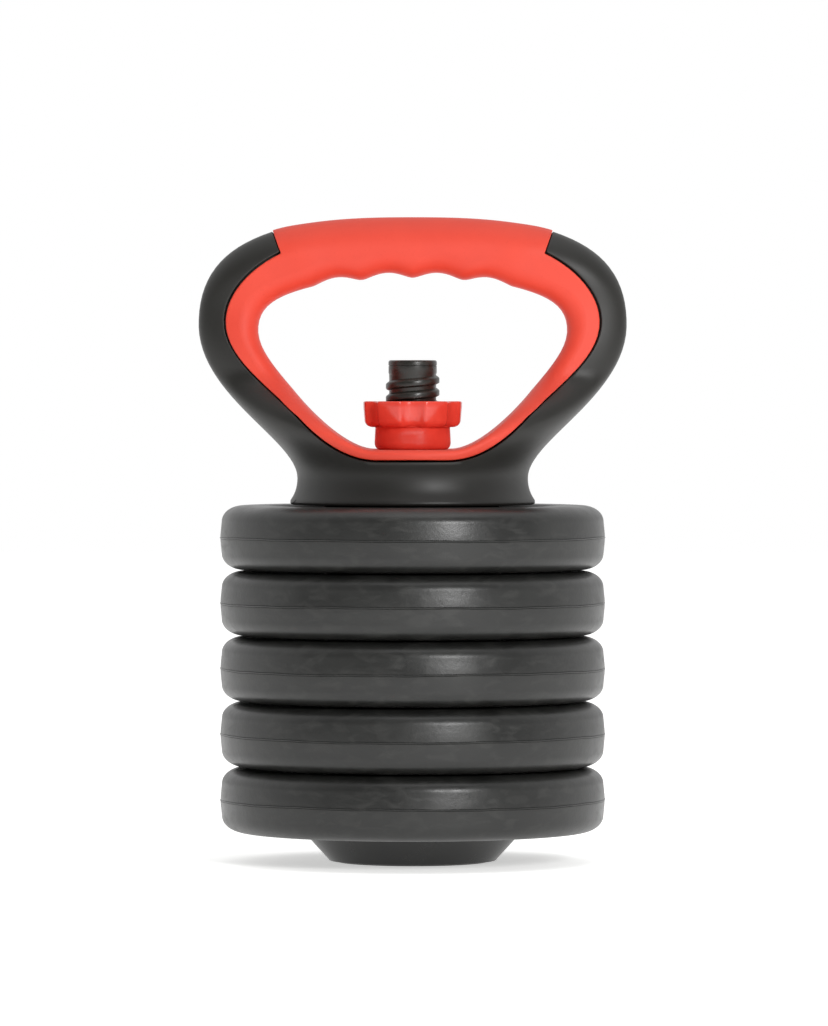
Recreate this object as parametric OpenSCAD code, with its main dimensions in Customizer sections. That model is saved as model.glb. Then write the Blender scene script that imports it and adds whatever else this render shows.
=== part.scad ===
// Adjustable kettlebell: vinyl-skinned cement plates stacked on a threaded rod between a base
// disc and a handle, and clamped by a star nut that sits inside the handle's loop.
// The origin is the middle of the footprint, on the floor, with +Z up the rod.

/* [Plates] */
// Diameter of a plate over the parting line
plate_d = 200; // [160:1:240]
// Height of a plate's rim
rim_h = 32.6; // [26:0.2:40]
// How far a hub face stands above the rim, on each side
hub_rise = 0.8; // [0.4:0.1:2]
// Width of the recess between a plate's rim and its hub
web_w = 28.5; // [23:0.5:35]
// Width of the rim around the round recess in each face
rim_w = 25.5; // [20:0.5:32]
// Depth of the recess below the rim
recess_depth = 5; // [2:0.5:8]
// Thickness of the moulded vinyl skin
skin = 2.5; // [1.5:0.1:3.5]
// Width of the rounding at the rim's corners
rim_round_w = 11; // [6:0.5:13]
// Height of the rounding at the rim's corners
rim_round_h = 8.3; // [5:0.1:10]
// Height of the parting line's bead
bead = 0.4; // [0.2:0.1:0.8]
// Diameter of the filler plug
plug_d = 16; // [12:1:20]
// Radial play between a plate's bore and the rod
bore_play = 0.75; // [0.5:0.05:1.5]

/* [Base] */
// Height of the base disc over its rubber foot
base_h = 15.4; // [12:0.1:24]
// Diameter of the base at the bottom
base_foot_d = 88.4; // [72:0.2:107]
// Diameter of the base at the top
base_top_d = 111.6; // [92:0.2:134]
// How far the rubber foot stays inside the base's edge
foot_inset = 4.2; // [3:0.1:8]
// Width of the rubber foot
foot_w = 12; // [6:1:14]
// Thickness of the rubber foot
foot_t = 2.4; // [1.5:0.1:3]
// How far the rubber foot stands out of the base
foot_out = 0.6; // [0.3:0.1:1]

/* [Rod] */
// Outer diameter of the rod and of its thread
rod_d = 28; // [23:0.1:34]
// Depth of the thread
thread_depth = 1.7; // [1.2:0.1:2.2]
// Distance between two turns of the thread
thread_pitch = 6.5; // [5.5:0.1:8]
// Length of the threaded stretch
thread_l = 112; // [80:1:150]
// Plain tip above the thread
tip_l = 6; // [4:0.5:10]
// Length of rod that shows above the tightened nut
rod_show = 21.4; // [12:0.1:30]
// Plastic around the steel tube, out to the crest of the thread
sleeve_wall = 4; // [3:0.1:5]
// Wall of the steel tube
tube_wall = 2.5; // [1:0.1:4]
// How far the flats of the rod's hexagonal head stand out of the rod
head_ledge = 6; // [4:0.5:7.5]
// Height of the rod's head
head_h = 6; // [4:0.5:8]

/* [Handle] */
// Overall width of the handle
handle_w = 222.4; // [185:0.2:267]
// Height of the handle above the top plate
handle_h = 150.5; // [130:0.1:181]
// Diameter of the handle's round foot
skirt_d = 128; // [112:1:154]
// Diameter of the neck above the foot
neck_d = 117.4; // [98:0.2:141]
// Height of the neck's narrowest point
neck_h = 14; // [12:0.5:18]
// Height of the nut's seat above the top plate
saddle_h = 30; // [25:0.5:36]
// Height from the widest point of the handle up to its top
shoulder_drop = 56.5; // [48:0.5:66]
// Thickness of the grip at its middle
grip_t = 30.8; // [26:0.2:36]
// Depth of the grip from front to back
grip_depth = 33; // [28:1:38]
// Depth of the arms from front to back
arm_depth = 38; // [34:1:44]
// Length of the grip's full sleeve
sleeve_l = 148; // [130:1:156]
// Width of an arm at its widest point, seen from the front
arm_w = 30.5; // [26:0.5:34]
// Width of the grip's lining at the same point
lining_w = 17.4; // [12:0.2:20]
// Thickness of the lining under the nut
lining_t = 7.4; // [6:0.2:9]
// Distance between two finger hollows
finger_pitch = 26.6; // [22:0.2:29]
// Depth of a finger hollow
finger_rise = 3.4; // [1:0.2:5]
// Wall of the handle's hollow foot
handle_wall = 4.2; // [3:0.1:6]
// Thickness of the foot's roof under the grip's lining
roof_t = 4.6; // [3:0.1:6]
// Thickness of the frame's core inside the grip
core_t = 18; // [12:1:22]

/* [Nut] */
// How far the nut's lobes reach outside the rod
lobe_reach = 11.4; // [9:0.1:16]
// Depth of the flutes between the lobes
flute_depth = 2.8; // [1.5:0.1:4]
// Radius of the flutes
flute_r = 10; // [8:0.5:12]
// Height of the nut
nut_h = 24; // [20:0.5:30]
// Height of the nut's collar below the lobes
collar_h = 10.5; // [6:0.5:14]
// Wall of the nut's collar around the rod
collar_wall = 5.7; // [5:0.1:8]
// Number of lobes
lobes = 6; // [5:1:8]
// Gap between the rod's thread and the nut's
thread_play = 0.35; // [0.3:0.05:0.5]
// Thickness of the rubber washer in the nut
washer_t = 1.6; // [1:0.1:2.5]

/* [Hidden] */
$fn = 96;

plates = 5;
plate_r = plate_d / 2;
hub_h = rim_h + 2 * hub_rise;
recess_d = plate_d - 2 * rim_w;
hub_d = recess_d - 2 * web_w;
rod_r = rod_d / 2;
tube_d = rod_d - 2 * sleeve_wall;
head_flats = rod_d + 2 * head_ledge;
collar_d = rod_d + 2 * collar_wall;
nut_d = rod_d + 2 * lobe_reach;
foot_d = base_foot_d - 2 * foot_inset;
bore_r = rod_r + bore_play;
base_top_z = base_h;
stack_z = base_top_z + plates * hub_h;
seat_z = stack_z + saddle_h;
rod_top_z = seat_z + nut_h + rod_show;
web_h = rim_h - 2 * recess_depth;
plug_at = (hub_d + recess_d) / 4;
thread_z = rod_top_z - tip_l - thread_l;
tube_top_z = rod_top_z - tip_l - sleeve_wall;
edge = 1;

// ---- Curves ----

// Points of a cubic curve from a to d, without its last point
function curve(a, b, c, d, n) = [for (i = [0:n - 1]) let (t = i / n, s = 1 - t)
    s * s * s * a + 3 * s * s * t * b + 3 * s * t * t * c + t * t * t * d];
// Points of an elliptical arc with radii r and q round the centre c
function arc(c, r, q, from, to, n) = [for (i = [0:n]) let (t = from + (to - from) * i / n)
    [c[0] + r * cos(t), c[1] + q * sin(t)]];
function reversed(list) = [for (i = [len(list) - 1:-1:0]) list[i]];
function flipped(list) = [for (p = reversed(list)) [-p[0], p[1]]];
function smooth(t) = let (u = min(1, max(0, t))) u * u * (3 - 2 * u);
function blend(a, b, t) = a + (b - a) * t;

// ---- Plates ----

// Right-hand half of a plate's section above its middle, from the bore out to the rim
function plate_half(inset) = let (
        outer = plate_r - bead - inset,
        hub_top = hub_h / 2 - inset,
        web_top = web_h / 2 - inset,
        rim_top = rim_h / 2 - inset,
        lip_r = recess_d / 2 + inset,
        round_w = rim_round_w - inset / 2,
        round_h = rim_round_h - inset / 2)
    concat(
        [[bore_r + inset, 0], [bore_r + inset, hub_top - edge], [bore_r + inset + edge, hub_top]],
        arc([hub_d / 2 - inset - 2 * edge, hub_top - 2 * edge], 2 * edge, 2 * edge, 90, 0, 4),
        arc([hub_d / 2 - inset + 2 * edge, web_top + 2 * edge], 2 * edge, 2 * edge, 180, 270, 4),
        arc([lip_r - 2 * edge, web_top + 2 * edge], 2 * edge, 2 * edge, 270, 360, 4),
        arc([lip_r + 1.5 * edge, rim_top - 1.5 * edge], 1.5 * edge, 1.5 * edge, 180, 90, 4),
        arc([outer - edge - round_w, rim_top - round_h], round_w, round_h, 90, 0, 8));

module plate_section(inset) {
    half = plate_half(inset);
    rim = plate_r - bead - inset;
    tip = [[rim, bead], [rim + (inset > 0 ? 0 : bead), 0], [rim, -bead]];
    lower = [for (p = reversed(half)) if (p[1] > 0) [p[0], -p[1]]];
    polygon(concat([for (p = half) if (p[1] > 0) p], tip, lower));
}

module plate_cavity() {
    rotate_extrude() plate_section(skin);
}

module plug_shape(top) {
    translate([plug_at, 0, -web_h / 2]) cylinder(d = plug_d, h = top);
}

module plate_shell(n) {
    color("dimgray") translate([0, 0, base_top_z + (n - 0.5) * hub_h]) difference() {
        rotate_extrude() plate_section(0);
        plate_cavity();
        translate([0, 0, -edge]) plug_shape(skin + 2 * edge);
    }
}

module plate_fill(n) {
    color("silver") translate([0, 0, base_top_z + (n - 0.5) * hub_h]) plate_cavity();
}

module plate_plug(n) {
    color("black") translate([0, 0, base_top_z + (n - 0.5) * hub_h]) plug_shape(skin);
}

// ---- Base ----

foot_in_d = foot_d - 2 * foot_w;
head_play = 0.2;
head_z = foot_t;

module base_disc() {
    color([0.12, 0.12, 0.12]) difference() {
        rotate_extrude() polygon(concat(
            [[0, foot_out]],
            arc([base_foot_d / 2 - edge, foot_out + edge], edge, edge, 270, 350, 4),
            arc([base_top_d / 2 - edge, base_top_z - edge], edge, edge, -10, 90, 4),
            [[0, base_top_z]]));
        difference() {
            translate([0, 0, -edge]) cylinder(d = foot_d, h = foot_t + edge);
            translate([0, 0, -2 * edge]) cylinder(d = foot_in_d, h = foot_t + 3 * edge);
        }
        translate([0, 0, -edge]) cylinder(r = rod_r, h = base_h + 2 * edge);
        translate([0, 0, -edge])
            cylinder(d = (head_flats + 2 * head_play) / cos(30), h = head_z + head_h + edge, $fn = 6);
    }
}

module foot_pad() {
    color([0.2, 0.2, 0.2]) difference() {
        cylinder(d = foot_d, h = foot_t);
        translate([0, 0, -edge]) cylinder(d = foot_in_d, h = foot_t + 2 * edge);
    }
}

// ---- Rod ----

turn_steps = 24;
crest = 0.42;
lower_flank = 0.12;
upper_flank = 0.2;
root_r = rod_r - thread_depth;

// A point on a thread, at a step along it, a share of the pitch up and a radius
function on_thread(step, share, r, pitch, z) = let (a = 360 * step / turn_steps)
    [r * cos(a), r * sin(a), z + pitch * (step / turn_steps + share)];

// A threaded bar from z0 to z1 with a chamfered top. The ridge runs from thread_from to
// thread_to at most, is as wide as its shares of the pitch say, and grows by the gap all round.
module threaded_bar(z0, z1, thread_from, thread_to, root, tip, gap) {
    turns = floor((thread_to - thread_from) / thread_pitch - 1);
    last = turns * turn_steps;
    z = thread_from + ((thread_to - thread_from) - (turns + 1) * thread_pitch) / 2;
    wide = gap / thread_pitch;
    shares = [0.1 - wide, 0.1 + lower_flank - wide, 0.1 + lower_flank + crest + wide,
        0.1 + lower_flank + crest + upper_flank + wide];
    radii = [root, tip, tip, root];
    grid = [for (i = [0:last]) for (j = [0:3]) on_thread(i, shares[j], radii[j], thread_pitch, z)];
    function level(r, h) = [for (i = [0:turn_steps - 1]) let (a = 360 * i / turn_steps)
        [r * cos(a), r * sin(a), h]];
    low = len(grid);
    high = low + turn_steps;
    cap = high + turn_steps;
    function at(i, j) = 4 * i + j;
    function ring(start, i) = start + i % turn_steps;
    sides = [for (i = [0:last - 1]) for (j = [0:2]) each [
        [at(i, j), at(i, j + 1), at(i + 1, j + 1)],
        [at(i, j), at(i + 1, j + 1), at(i + 1, j)]]];
    roots = [for (i = [0:last - turn_steps - 1])
        [at(i, 3), at(i + turn_steps, 0), at(i + 1 + turn_steps, 0), at(i + 1, 3)]];
    lead_in = [for (i = [0:turn_steps - 2])
        [ring(low, i), at(i, 0), at(i + 1, 0), ring(low, i + 1)]];
    lead_in_end = [[ring(low, turn_steps - 1), at(turn_steps - 1, 0), at(turn_steps, 0),
        at(0, 3), at(0, 0), ring(low, 0)]];
    from = last - turn_steps;
    lead_out = [for (i = [1:turn_steps - 1])
        [at(from + i, 3), ring(high, from + i), ring(high, from + i + 1), at(from + i + 1, 3)]];
    lead_out_end = [[at(from, 3), at(last, 0), at(from + 1, 3)],
        [at(last, 0), at(last, 3), at(from + 1, 3)],
        [at(last, 3), ring(high, from + 1), at(from + 1, 3)],
        [at(last, 3), ring(high, from), ring(high, from + 1)]];
    chamfer = [for (i = [0:turn_steps - 1])
        [ring(high, i), ring(cap, i), ring(cap, i + 1), ring(high, i + 1)]];
    ends = [[at(0, 0), at(0, 3), at(0, 2), at(0, 1)],
        [at(last, 0), at(last, 1), at(last, 2)],
        [at(last, 0), at(last, 2), at(last, 3)],
        [for (i = [0:turn_steps - 1]) low + i],
        [for (i = [turn_steps - 1:-1:0]) cap + i]];
    polyhedron(concat(grid, level(root, z0), level(root, z1 - edge), level(root - edge, z1)),
        concat(sides, roots, lead_in, lead_in_end, lead_out, lead_out_end, chamfer, ends),
        convexity = 10);
}

module rod_sleeve() {
    color([0.15, 0.15, 0.15]) difference() {
        union() {
            translate([0, 0, head_z]) cylinder(d = head_flats / cos(30), h = head_h, $fn = 6);
            translate([0, 0, head_z + edge]) cylinder(r = rod_r, h = thread_z - head_z - edge);
            threaded_bar(thread_z - edge, rod_top_z, thread_z, rod_top_z - tip_l, root_r, rod_r, 0);
        }
        translate([0, 0, head_z - edge]) cylinder(d = tube_d, h = tube_top_z + edge - head_z);
    }
}

module rod_tube() {
    color("silver") difference() {
        translate([0, 0, head_z]) cylinder(d = tube_d, h = tube_top_z - head_z);
        translate([0, 0, head_z - edge])
            cylinder(d = tube_d - 2 * tube_wall, h = tube_top_z - head_z + 2 * edge);
    }
}

// ---- Handle ----
// Outlines are half widths against heights above the top plate.

half_w = handle_w / 2;
shoulder_h = handle_h - shoulder_drop;
skirt_r = skirt_d / 2;
neck_r = neck_d / 2;
sleeve_r = sleeve_l / 2;
inner_w = half_w - arm_w;
lining_x = inner_w + lining_w;
underside = handle_h - grip_t;
sleeve_drop = 8;
rim_r = 1.5;
seat_flat = collar_d / 2 + 0.3;

// Heights at a share of the way between two levels of the handle
function body_at(share) = blend(neck_h, shoulder_h, share);
function top_at(share) = blend(shoulder_h, handle_h - sleeve_drop, share);
function arm_at(share) = blend(saddle_h, shoulder_h, share);
function over_arm(share) = blend(shoulder_h, underside + 11, share);

// The handle's outer outline, from its foot up to the middle of the grip
outline = concat(
    arc([skirt_r - rim_r, rim_r], rim_r, rim_r, 270, 360, 3),
    curve([skirt_r - 0.4, 2.4], [skirt_r - 3, 5], [neck_r, neck_h * 0.6], [neck_r, neck_h], 3),
    curve([neck_r, neck_h], [neck_r, body_at(0.325)], [half_w, body_at(0.5375)],
        [half_w, shoulder_h], 9),
    curve([half_w, shoulder_h], [half_w, top_at(0.5155)], [sleeve_r + 24, top_at(0.8103)],
        [sleeve_r - 0.5, handle_h - sleeve_drop], 7),
    curve([sleeve_r - 0.5, handle_h - sleeve_drop], [sleeve_r - 24, handle_h - 1.2],
        [sleeve_r / 3, handle_h], [0, handle_h], 7));

// Depth and squareness of the handle's level sections
blend_low = 20;
blend_high = shoulder_h - 24;
blend_grip = underside - 4.7;
crown = 18;

function half_depth(x, h) = let (
        body = blend(x, arm_depth / 2, smooth((h - blend_low) / (blend_high - blend_low))),
        arm = blend(body, grip_depth / 2, smooth((h - blend_high) / (blend_grip - blend_high))),
        over = max(0, (h - handle_h + crown) / crown))
    arm * sqrt(max(0.001, 1 - over * over));
function squareness(h) = blend(2, 4, smooth((h - blend_low) / (blend_high - blend_low)));
function power(v, e) = sign(v) * pow(abs(v), e);
section_sides = 40;
function level_section(p) = let (e = 2 / squareness(p[1]), b = half_depth(p[0], p[1]))
    [for (i = [0:section_sides - 1]) let (a = 360 * i / section_sides)
        [p[0] * power(cos(a), e), b * power(sin(a), e), p[1]]];

// A closed skin over rings with the same number of points, bottom ring first
module skin_over(rings) {
    n = len(rings[0]);
    last = len(rings) - 1;
    sides = [for (k = [0:last - 1]) for (i = [0:n - 1]) let (j = (i + 1) % n) each [
        [k * n + i, (k + 1) * n + i, (k + 1) * n + j],
        [k * n + i, (k + 1) * n + j, k * n + j]]];
    polyhedron([for (r = rings) each r],
        concat(sides, [[for (i = [0:n - 1]) i], [for (i = [n - 1:-1:0]) last * n + i]]),
        convexity = 10);
}

module handle_body() {
    skin_over([for (p = outline) level_section(p)]);
}

// The loop's outline, right half, from under the nut round to the middle of the grip
function hollow_edge(x) = let (s = abs(sin(180 * x / finger_pitch)), k = 0.15)
    underside - 0.0017 * x * x + finger_rise * (sqrt(s * s + k * k) - k);
hollow_end = 2 * finger_pitch;
loop_half = concat(
    [[0, saddle_h], [seat_flat / 2, saddle_h]],
    curve([seat_flat, saddle_h], [seat_flat + 13, saddle_h],
        [inner_w - 29.9, arm_at(0.2469)], [inner_w - 18.7, arm_at(0.4688)], 6),
    curve([inner_w - 18.7, arm_at(0.4688)], [inner_w - 9.7, arm_at(0.6406)],
        [inner_w, arm_at(0.7969)], [inner_w, shoulder_h - 3], 5),
    curve([inner_w, shoulder_h - 3], [inner_w, blend(shoulder_h - 3, hollow_edge(hollow_end), 0.5)],
        [hollow_end + 19.5, hollow_edge(hollow_end) - 5],
        [hollow_end, hollow_edge(hollow_end)], 6),
    [for (i = [0:10]) let (x = hollow_end * (1 - i / 11)) [x, hollow_edge(x)]]);
loop_line = concat([for (i = [1:len(loop_half) - 1]) loop_half[i]],
    [[0, hollow_edge(0)]],
    [for (i = [len(loop_half) - 1:-1:1]) [-loop_half[i][0], loop_half[i][1]]], [[0, saddle_h]]);
loop_c = [0, shoulder_h - 9];

function away(p, by) = let (d = p - loop_c) p + by * d / norm(d);
function outline_x(h) = lookup(h, [for (p = outline) [p[1], p[0]]]);
function depth_at(p) = let (e = squareness(p[1]), a = outline_x(p[1]))
    half_depth(a, p[1]) * pow(max(0.02, 1 - pow(min(1, abs(p[0]) / a), e)), 1 / e);
function mouth_r(p) = blend(4, 9, smooth((p[1] - saddle_h) / 30));

// The space inside the loop, with a rounded mouth at the front and at the back
mouth = [[-1, 1], [-0.94, 0.66], [-0.77, 0.36], [-0.5, 0.13], [0, 0],
    [0.5, 0.13], [0.77, 0.36], [0.94, 0.66], [1, 1]];
far = 80;
function loop_ring(y, grow) = [for (p = loop_line) let (
        r = mouth_r(p),
        q = away(p, r * grow),
        d = depth_at(p),
        side = y == 0 ? 0 : sign(y) * (d - r + r * abs(y)))
    [q[0], side, q[1]]];
module loop_space() {
    outer = loop_ring(1, 1);
    skin_over(reversed(concat(
        [[for (p = outer) [p[0], -far, p[2]]]],
        [for (m = mouth) loop_ring(m[0], m[1])],
        [[for (p = outer) [p[0], far, p[2]]]])));
}

// The region that the soft grip fills, seen from the front
lining_half = concat(
    [[0, saddle_h - lining_t]],
    curve([seat_flat - 2, saddle_h - lining_t], [seat_flat + 16, saddle_h - lining_t],
        [lining_x - 48.1, arm_at(0.0781)], [lining_x - 37.1, arm_at(0.2656)], 5),
    curve([lining_x - 37.1, arm_at(0.2656)], [lining_x - 21.1, arm_at(0.5078)],
        [lining_x, arm_at(0.7344)], [lining_x, shoulder_h + 1.5], 6),
    curve([lining_x, shoulder_h + 1.5], [lining_x, over_arm(0.436)],
        [sleeve_r + 11, over_arm(0.8038)], [sleeve_r - 3.4, over_arm(1)], 5),
    [[sleeve_r - 3.4, over_arm(1)], [sleeve_r + 0.7, handle_h - 8.4],
        [sleeve_r + 4, handle_h + 5]]);

module lining_region() {
    rotate([90, 0, 0]) translate([0, 0, -far]) linear_extrude(height = 2 * far)
        polygon(concat(lining_half, [for (i = [len(lining_half) - 1:-1:1])
            [-lining_half[i][0], lining_half[i][1]]]));
}

// The frame's flat core, which runs right round inside the grip
core_cover = 4.2;
core_low = 10;
core_half = [for (p = outline) if (p[1] > core_low + 4) away(p, -core_cover - 0.8)];
core_outer = concat([[neck_r - 8, core_low]], core_half,
    flipped(core_half), [[8 - neck_r, core_low]]);
module grip_core() {
    rotate([90, 0, 0]) translate([0, 0, -core_t / 2]) linear_extrude(height = core_t)
        difference() {
            polygon(core_outer);
            polygon([for (p = loop_line) away(p, core_cover)]);
        }
}

boss_r = rod_r + bore_play + 2.6;
hub_boss_r = boss_r + 5;
cavity_h = saddle_h - lining_t - roof_t;
ribs = 8;
rib_t = 3;

module handle_frame() {
    color([0.13, 0.13, 0.12]) translate([0, 0, stack_z]) difference() {
        union() {
            difference() {
                handle_body();
                lining_region();
                loop_space();
            }
            grip_core();
            translate([0, 0, saddle_h - lining_t - edge]) cylinder(r = boss_r, h = lining_t + edge);
        }
        difference() {
            translate([0, 0, -edge]) cylinder(r = neck_r - handle_wall, h = cavity_h + edge);
            translate([0, 0, -2 * edge]) cylinder(r = hub_boss_r, h = cavity_h + 3 * edge);
            for (i = [0:ribs / 2 - 1]) rotate([0, 0, (i + 0.5) * 360 / ribs])
                translate([-neck_r, -rib_t / 2, -2 * edge])
                    cube([2 * neck_r, rib_t, cavity_h + 3 * edge]);
        }
        translate([0, 0, -edge]) cylinder(r = bore_r, h = saddle_h + 2 * edge);
    }
}

module grip_overmould() {
    color([0.93, 0.3, 0.22]) translate([0, 0, stack_z]) difference() {
        intersection() {
            handle_body();
            lining_region();
        }
        loop_space();
        grip_core();
        translate([0, 0, saddle_h - lining_t - edge]) cylinder(r = boss_r, h = lining_t + 2 * edge);
    }
}

// ---- Nut ----

nut_r = nut_d / 2;
lobe_h = nut_h - collar_h;
washer_out = boss_r - 0.9;
washer_in = bore_r - 0.2;
washer_gap = 0.25;

module nut_washer() {
    color([0.1, 0.1, 0.1]) translate([0, 0, seat_z]) difference() {
        cylinder(r = washer_out, h = washer_t);
        translate([0, 0, -edge]) cylinder(r = washer_in, h = washer_t + 2 * edge);
    }
}

module star_nut() {
    color([0.88, 0.18, 0.12]) translate([0, 0, seat_z]) difference() {
        union() {
            rotate_extrude() polygon(concat([[0, 0]],
                arc([collar_d / 2 - 2.6, 4], 2.6, 4, 270, 360, 5),
                [[collar_d / 2 - 0.3, collar_h + edge], [0, collar_h + edge]]));
            difference() {
                translate([0, 0, collar_h]) rotate_extrude() polygon(concat([[0, 0]],
                    arc([nut_r - 4.1, 3.3], 3.3, 3.3, 270, 360, 5),
                    arc([nut_r - edge, lobe_h - edge], edge, edge, 0, 90, 3),
                    [[0, lobe_h]]));
                for (i = [0:lobes - 1]) rotate([0, 0, 360 * (i - 0.5) / lobes + 120])
                    translate([nut_r - flute_depth + flute_r, 0, -edge])
                        cylinder(r = flute_r, h = nut_h + 2 * edge);
            }
        }
        translate([0, 0, -edge]) cylinder(r = root_r + thread_play, h = nut_h + 2 * edge);
        translate([0, 0, -edge]) cylinder(r = washer_out + washer_gap, h = washer_t + edge);
        translate([0, 0, -seat_z]) threaded_bar(thread_z - edge, rod_top_z, thread_z,
            rod_top_z - tip_l, root_r, rod_r + thread_play, thread_play);
    }
}

base_disc();
foot_pad();
rod_sleeve();
rod_tube();
plate_shell(1);  // plate_1_shell
plate_fill(1);  // plate_1_fill
plate_plug(1);  // plate_1_plug
plate_shell(2);  // plate_2_shell
plate_fill(2);  // plate_2_fill
plate_plug(2);  // plate_2_plug
plate_shell(3);  // plate_3_shell
plate_fill(3);  // plate_3_fill
plate_plug(3);  // plate_3_plug
plate_shell(4);  // plate_4_shell
plate_fill(4);  // plate_4_fill
plate_plug(4);  // plate_4_plug
plate_shell(5);  // plate_5_shell
plate_fill(5);  // plate_5_fill
plate_plug(5);  // plate_5_plug
handle_frame();
grip_overmould();
nut_washer();
star_nut();
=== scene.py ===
# %% [markdown]
# # An adjustable kettlebell
# Five vinyl-skinned plates sit on a threaded rod, between a glossy base disc and a looped
# handle with a soft red grip. A red nut with six lobes clamps the stack. This lesson models
# every visible piece around the measured CAD model, which is loaded first and never changed.

# %% Load the measured model
import math

import bpy
import numpy as np
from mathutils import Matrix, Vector


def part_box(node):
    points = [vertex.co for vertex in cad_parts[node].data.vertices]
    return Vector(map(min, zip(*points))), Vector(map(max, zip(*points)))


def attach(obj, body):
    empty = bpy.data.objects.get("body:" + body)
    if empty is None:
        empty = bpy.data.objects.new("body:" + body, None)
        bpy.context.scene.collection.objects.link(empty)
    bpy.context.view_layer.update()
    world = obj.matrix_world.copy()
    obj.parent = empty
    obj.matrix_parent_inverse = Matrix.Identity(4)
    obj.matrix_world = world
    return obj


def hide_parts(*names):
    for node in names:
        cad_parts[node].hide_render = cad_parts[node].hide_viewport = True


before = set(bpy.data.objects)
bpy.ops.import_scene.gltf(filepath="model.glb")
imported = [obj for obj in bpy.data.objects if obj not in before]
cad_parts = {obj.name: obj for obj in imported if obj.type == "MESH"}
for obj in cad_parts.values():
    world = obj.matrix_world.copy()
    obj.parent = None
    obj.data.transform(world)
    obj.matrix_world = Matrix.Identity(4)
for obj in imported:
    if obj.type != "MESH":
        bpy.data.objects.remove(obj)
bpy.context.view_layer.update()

# %% [markdown]
# The drawing is in millimetres and Blender works in metres, so one factor turns the one into
# the other. The levels of the stack are read from the CAD nodes, which keeps the new pieces in
# place if the stack is ever made taller.

# %% Units and levels
MM = 0.001
stack_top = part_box("handle_frame")[0].z / MM
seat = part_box("star_nut")[0].z / MM - 1.2
rod_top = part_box("rod_sleeve")[1].z / MM
base_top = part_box("base_disc")[1].z / MM
plate_mid = [sum(c.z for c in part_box(f"plate_{n}_shell")) / 2 / MM for n in range(1, 6)]
print("stack top", stack_top, "seat", seat, "rod top", rod_top, "plates at", plate_mid)

# %% [markdown]
# ## Working by hand in code
# A maker starts from a primitive and shapes it in edit mode. Operators act on whatever is
# selected, so everything is deselected before a new piece is started.

# %% Small hand tools
def start_piece():
    bpy.ops.object.select_all(action="DESELECT")


def only(piece):
    start_piece()
    piece.select_set(True)
    bpy.context.view_layer.objects.active = piece


def edit(piece):
    only(piece)
    bpy.ops.object.mode_set(mode="EDIT")
    bpy.ops.mesh.select_all(action="SELECT")


def leave_edit():
    bpy.ops.object.mode_set(mode="OBJECT")


def close_up(piece):
    """Merges what lies in one place, and points the faces outwards."""
    edit(piece)
    bpy.ops.mesh.remove_doubles(threshold=0.002 * MM)
    bpy.ops.mesh.select_all(action="SELECT")
    bpy.ops.mesh.normals_make_consistent(inside=False)
    leave_edit()


def smooth_piece(piece, degrees=35):
    only(piece)
    bpy.ops.object.shade_smooth_by_angle(angle=math.radians(degrees))


def settle(piece):
    """Puts a piece's place into its mesh, so that its object sits at the origin."""
    only(piece)
    bpy.ops.object.transform_apply(location=True, rotation=True, scale=True)


def cut(piece, tool):
    """Takes the tool's shape out of the piece, then throws the tool away."""
    only(piece)
    boolean = piece.modifiers.new("cut", "BOOLEAN")
    boolean.operation = "DIFFERENCE"
    boolean.solver = "EXACT"
    boolean.object = tool
    bpy.ops.object.modifier_apply(modifier=boolean.name)
    bpy.data.objects.remove(tool)


def join_to(piece, *others):
    """Makes the other pieces part of this one."""
    start_piece()
    for other in (*others, piece):
        other.select_set(True)
    bpy.context.view_layer.objects.active = piece
    bpy.ops.object.join()


def size_of(piece):
    return len(piece.data.polygons)


# %% [markdown]
# Round pieces come off a lathe. Here the lathe is the spin operator: a single point is drawn
# along the profile by extruding it step by step, and the closed line is then spun round the
# rod's axis. A cylinder with bevels would give the same silhouette, but not the small radii
# that catch the light on moulded parts.

# %% A lathe
def arc(centre, r, q, start, end, n):
    """Points on an arc with radii r and q, by angle in degrees."""
    steps = [math.radians(start + (end - start) * i / n) for i in range(n + 1)]
    return [(centre[0] + r * math.cos(a), centre[1] + q * math.sin(a)) for a in steps]


def drawn_line(name, outline, base_z=0.0):
    """A closed line of (radius, height) points in millimetres. It is left in edit mode."""
    start_piece()
    r, z = outline[0]
    bpy.ops.mesh.primitive_plane_add(size=MM, location=(r * MM, 0, (base_z + z) * MM))
    line = bpy.context.object
    line.name = line.data.name = name
    settle(line)
    edit(line)
    bpy.ops.mesh.merge(type="CENTER")
    for here, there in zip(outline, outline[1:] + outline[:1]):
        move = ((there[0] - here[0]) * MM, 0, (there[1] - here[1]) * MM)
        bpy.ops.mesh.extrude_vertices_move(TRANSFORM_OT_translate={"value": move})
    bpy.ops.mesh.select_all(action="SELECT")
    bpy.ops.mesh.remove_doubles(threshold=0.002 * MM)
    return line


def turned(name, profile, steps):
    """A solid of revolution from a closed line of (radius, height) points in millimetres."""
    piece = drawn_line(name, profile)
    bpy.ops.mesh.spin(steps=steps, angle=2 * math.pi, center=(0, 0, 0), axis=(0, 0, 1))
    leave_edit()
    close_up(piece)
    return piece


def drill(r, low, high, at=(0, 0), sides=96):
    """A round cutting tool."""
    start_piece()
    bpy.ops.mesh.primitive_cylinder_add(vertices=sides, radius=r * MM, depth=(high - low) * MM,
        location=(at[0] * MM, at[1] * MM, (low + high) / 2 * MM))
    tool = bpy.context.object
    settle(tool)
    return tool


# %% [markdown]
# ## Finishes
# All finishes are procedural and read Object coordinates, so the grain keeps its real size.
# These helpers lay noise, turn it into colour or roughness, and add bumps of a stated height.

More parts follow.
